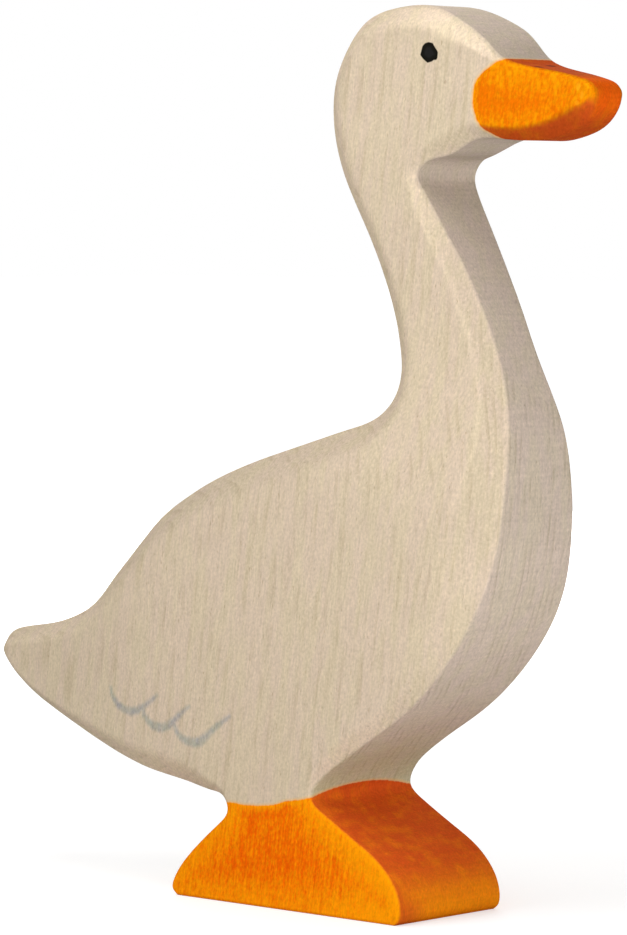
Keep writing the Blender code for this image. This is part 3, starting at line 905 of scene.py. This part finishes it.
def wood_colour(graph, tree, tone):
    """Pale wood in two tints with rings and pores; greyer and bluer where sawn as painted cool light,
    darker above the foot as painted shade.
    """
    tint = graph.step(graph.noise(tree, TINT_CLOUDS), *TINT_RAMP)
    colour = graph.mix(tint, WOOD_PINK, WOOD_GREEN)
    sawn = graph.attribute("sawn")
    on_sawn = graph.step(graph.axes(tree)["Z"], *SAWN_RINGS_HEIGHT)
    shown = graph.math("MULTIPLY_ADD", sawn, on_sawn, RINGS_SHOWN)
    rings = graph.math("MULTIPLY", growth_rings(graph, tree), shown)
    colour = graph.mix(rings, colour, LATE_WOOD)
    pores = graph.step(graph.noise(tree, PORES), *PORE_RAMP)
    colour = graph.mix(graph.math("MULTIPLY", pores, PORES_SHOWN), colour, PORE_BROWN)
    # A painted cool light: the sawn edge bluer.
    colour = graph.mix(sawn, colour, SAWN_COOL_LIGHT, "MULTIPLY")
    # Painted shade on the sawn edge just above the foot's stain, against the foot's orange bounce light.
    above_stain = graph.step(graph.attribute("foot_gap"), *BOUNCE_SHADE_ABOVE_STAIN)
    colour = graph.mix(graph.math("MULTIPLY", above_stain, sawn), colour, BOUNCE_SHADE_TINT, "MULTIPLY")
    return graph.scaled(colour, tone)


def stain_colour(graph, here, tree, gap, blotch, tone):
    """Orange stain: yellower where it is thin, and deeper on the sawn edge and the wide facets."""
    length, across, height = graph.axes(here)
    on_beak = graph.step(height, *BEAK_HEIGHT)
    cloud = graph.noise(tree, STAIN_CLOUDS)
    inside_stain = graph.step(gap, *THIN_INSIDE_STAIN)
    inside_outline = graph.step(graph.attribute("edge_gap"), *THIN_INSIDE_OUTLINE)
    yellow = graph.math("MULTIPLY", graph.noise(tree, STAIN_STREAKS), YELLOW_STREAKS)
    yellow = graph.math("MULTIPLY_ADD", blotch, YELLOW_BLOTCHES, yellow)
    yellow = graph.math("MULTIPLY_ADD", cloud, YELLOW_CLOUDS, yellow)
    to_front = graph.step(length, *FOOT_YELLOW_LENGTH)
    yellow = graph.math("MULTIPLY_ADD", to_front, YELLOW_TO_FRONT, yellow)
    thin = graph.math("MAXIMUM", inside_stain, inside_outline)
    yellow = graph.math("MULTIPLY_ADD", thin, YELLOW_WHERE_THIN, yellow)
    yellow = graph.math("MULTIPLY_ADD", on_beak, YELLOW_ON_BEAK, yellow)
    bright = graph.step(yellow, *STAIN_YELLOW)
    beak = graph.mix(bright, BEAK_ORANGE, BEAK_BRIGHT)
    foot = graph.mix(bright, FOOT_ORANGE, FOOT_BRIGHT)
    colour = graph.mix(on_beak, foot, beak)

    # The sawn edge took deep stain all over the beak, and on the foot high up or near one side.
    near = graph.step(across, *DEEP_NEAR_SIDE)
    reach = graph.math("MAXIMUM", graph.step(height, *DEEP_HEIGHT), near)
    reach = graph.math("MAXIMUM", reach, on_beak)
    deep = graph.math("MULTIPLY", graph.attribute("wear"), reach)
    deep = graph.math("MULTIPLY", deep, graph.step(cloud, *STAIN_DEEP_PATCHES))
    tip = graph.math("MULTIPLY", graph.step(length, *TIP_LENGTH), graph.step(height, *TIP_HEIGHT))
    tip = graph.math("MULTIPLY", tip, graph.attribute("sawn"))
    colour = graph.mix(deep, colour, graph.mix(tip, STAIN_DEEP, STAIN_TIP))
    return graph.scaled(colour, tone)


def speck(graph, here, middle, size):
    """1 within a small speck and 0 outside it."""
    apart = graph.vector("DIVIDE", graph.vector("SUBTRACT", here, middle), size)
    return graph.step(graph.length(apart), *SPECK_EDGE)


def make_wood():
    material = bpy.data.materials.new("painted_wood")
    graph = Graph(material)
    here = graph.scaled(graph.add("ShaderNodeTexCoord", {}).outputs["Object"], MM)
    tree = place_in_tree(graph, here)

    # Fine unevenness that all the finishes share: fibres, mottling, saw marks on the edge, and the
    # painted highlights and shade.
    fibres = graph.noise(tree, FIBRES, FINE_DETAIL)
    mottle = graph.noise(tree, MOTTLE, FINE_DETAIL)
    saw = graph.math("SUBTRACT", graph.noise(here, SAW_MARKS), NOISE_MEAN)
    saw = graph.math("MULTIPLY", saw, graph.attribute("wear"))
    tone = graph.math("MULTIPLY_ADD", fibres, *FIBRE_TONE)
    tone = graph.math("MULTIPLY", tone, graph.math("MULTIPLY_ADD", mottle, *MOTTLE_TONE))
    tone = graph.math("MULTIPLY", tone, graph.math("MULTIPLY_ADD", saw, *SAW_TONE))
    # Painted highlights and shade, lighter or darker across every finish.
    painted_light = graph.math("MULTIPLY_ADD", graph.attribute("painted_light"), *PAINTED_LIGHT_TONE)
    tone = graph.math("MULTIPLY", tone, painted_light)
    colour = wood_colour(graph, tree, tone)

    # The orange stain, with a soft and slightly ragged edge that bleeds into the wood.
    blotch = graph.noise(tree, STAIN_BLOTCHES, FINE_DETAIL)
    ragged = graph.math("SUBTRACT", blotch, NOISE_MEAN)
    gap = graph.math("MINIMUM", graph.attribute("beak_gap"), graph.attribute("foot_gap"))
    gap = graph.math("MULTIPLY_ADD", ragged, RAGGED_BY, gap)
    colour = graph.mix(graph.step(gap, *BLEED_EDGE), colour, STAIN_BLEED)
    stain = stain_colour(graph, here, tree, gap, blotch, tone)
    colour = graph.mix(graph.step(gap, *STAIN_EDGE), colour, stain)
    for middle, size in DARK_SPECKS:
        colour = graph.mix(speck(graph, here, middle, size), colour, SPECK_BROWN)
    either_side = graph.vector("ABSOLUTE", here)
    for middle, size in RUBBED_SPECKS:
        rubbed = graph.math("MULTIPLY", speck(graph, either_side, middle, size), RUBBED_SHOWN)
        colour = graph.mix(rubbed, colour, RUBBED_YELLOW)

    # The wing's thin brush strokes, which tint the wood, and the painted eye, which covers it.
    wing_gap = graph.math("MULTIPLY_ADD", ragged, RAGGED_BY, graph.attribute("wing_gap"))
    ink = graph.math("MULTIPLY", graph.step(wing_gap, *INK_EDGE), graph.step(blotch, *INK_PATCHES))
    wash = graph.mix(graph.step(graph.noise(here, WASH_CLOUDS), *WASH_RAMP), WING_BLUE, WING_GREY)
    colour = graph.mix(ink, colour, wash, "MULTIPLY")
    eye_gap = graph.attribute("eye_gap")
    eye = graph.step(eye_gap, *EYE_EDGE)
    # The eye's paint is a little greyer in its middle.
    black = graph.mix(graph.step(eye_gap, *EYE_GREY_MIDDLE_INSIDE), EYE_BLACK, EYE_GREY_MIDDLE)
    colour = graph.mix(eye, colour, black)

    # Dull where it is bare or stained, a little glossier on the eye's paint, with fibres to feel.
    roughness = graph.math("MULTIPLY_ADD", fibres, *ROUGHNESS_OF_FIBRES)
    roughness = graph.math("MULTIPLY_ADD", eye, ROUGHNESS_OF_EYE, roughness)
    grain = graph.math("MULTIPLY_ADD", mottle, MOTTLE_IN_GRAIN, fibres)
    bump = graph.add("ShaderNodeBump", {"Height": grain, "Strength": 1.0, "Distance": GRAIN_HEIGHT})
    finish = {
        "Base Color": colour,
        "Roughness": roughness,
        "Specular IOR Level": SPECULAR,
        "Normal": bump.outputs["Normal"],
    }
    shader = graph.add("ShaderNodeBsdfPrincipled", finish)
    graph.add("ShaderNodeOutputMaterial", {"Surface": shader.outputs["BSDF"]})
    return material


def seen_directly(graph):
    """1 for a ray from the camera, also one that a surface reflects or lets through."""
    rays = graph.add("ShaderNodeLightPath", {}).outputs
    seen = graph.math("ADD", rays["Is Camera Ray"], rays["Is Glossy Ray"])
    return graph.math("ADD", seen, rays["Is Transmission Ray"])


def make_floor():
    """A pale floor that keeps the figure's shadow, and that a camera sees as white further off."""
    material = bpy.data.materials.new("floor")
    graph = Graph(material)
    here = graph.add("ShaderNodeTexCoord", {}).outputs["Object"]
    glow = graph.step(graph.length(here), GLOW_NEAR, GLOW_FAR, FLOOR_GLOW, 1.0)
    pale = graph.add("ShaderNodeBsdfDiffuse", {"Color": FLOOR_COLOUR})
    shown = graph.math("MULTIPLY", seen_directly(graph), glow)
    light = graph.add("ShaderNodeEmission", {"Strength": shown})
    both = graph.add("ShaderNodeAddShader", {0: pale.outputs[0], 1: light.outputs[0]})
    graph.add("ShaderNodeOutputMaterial", {"Surface": both.outputs[0]})
    mesh = bpy.data.meshes.new("floor")
    corners = [(-1, -1, 0), (1, -1, 0), (1, 1, 0), (-1, 1, 0)]
    mesh.from_pydata([Vector(corner) * FLOOR_REACH for corner in corners], [], [(0, 1, 2, 3)])
    mesh.materials.append(material)
    floor = bpy.data.objects.new("floor", mesh)
    bpy.context.scene.collection.objects.link(floor)


def make_world():
    """Even light from all round, and white where a camera or a reflection sees past the floor."""
    world = bpy.data.worlds.new("studio")
    bpy.context.scene.world = world
    graph = Graph(world)
    strength = graph.step(seen_directly(graph), 0.0, 1.0, AMBIENT, 1.0)
    background = graph.add("ShaderNodeBackground", {"Color": WHITE, "Strength": strength})
    graph.add("ShaderNodeOutputWorld", {"Surface": background.outputs[0]})


def direction(azimuth, elevation):
    """A unit vector: azimuth 0 faces the near side of the figure, and 90 its beak. Degrees."""
    around, up = math.radians(azimuth), math.radians(elevation)
    return Vector((math.sin(around) * math.cos(up), -math.cos(around) * math.cos(up), math.sin(up)))


def add_lamp(name, azimuth, elevation, aim_z, distance, size, level):
    """A round soft lamp. It lights a surface that faces it to the level: 1 shows a colour as written."""
    light = bpy.data.lights.new(name, "AREA")
    light.shape = "DISK"
    light.size = size
    light.energy = 4 * math.pi * distance**2 * level
    lamp = bpy.data.objects.new(name, light)
    towards = direction(azimuth, elevation)
    lamp.location = Vector((0.0, 0.0, aim_z)) + towards * distance
    lamp.rotation_euler = towards.to_track_quat("Z", "Y").to_euler()
    lamp.visible_camera = False
    bpy.context.scene.collection.objects.link(lamp)


def add_camera():
    data = bpy.data.cameras.new("camera")
    data.sensor_fit = "VERTICAL"
    data.sensor_height = SENSOR_HEIGHT
    data.lens = FOCAL_LENGTH_PX * SENSOR_HEIGHT / FRAME_HEIGHT_PX
    camera = bpy.data.objects.new("camera", data)
    back = direction(CAMERA_AZIMUTH, CAMERA_ELEVATION)
    camera.location = CAMERA_TARGET + back * CAMERA_DISTANCE
    camera.rotation_euler = back.to_track_quat("Z", "Y").to_euler()
    bpy.context.scene.collection.objects.link(camera)
    bpy.context.scene.camera = camera


add_camera()
make_floor()
make_world()
for name, lamp in LAMPS.items():
    add_lamp(name, *lamp)
goose = build_goose()
goose.data.materials.append(make_wood())
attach(goose, "root")
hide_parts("goose")
bpy.context.scene.view_settings.view_transform = "Standard"
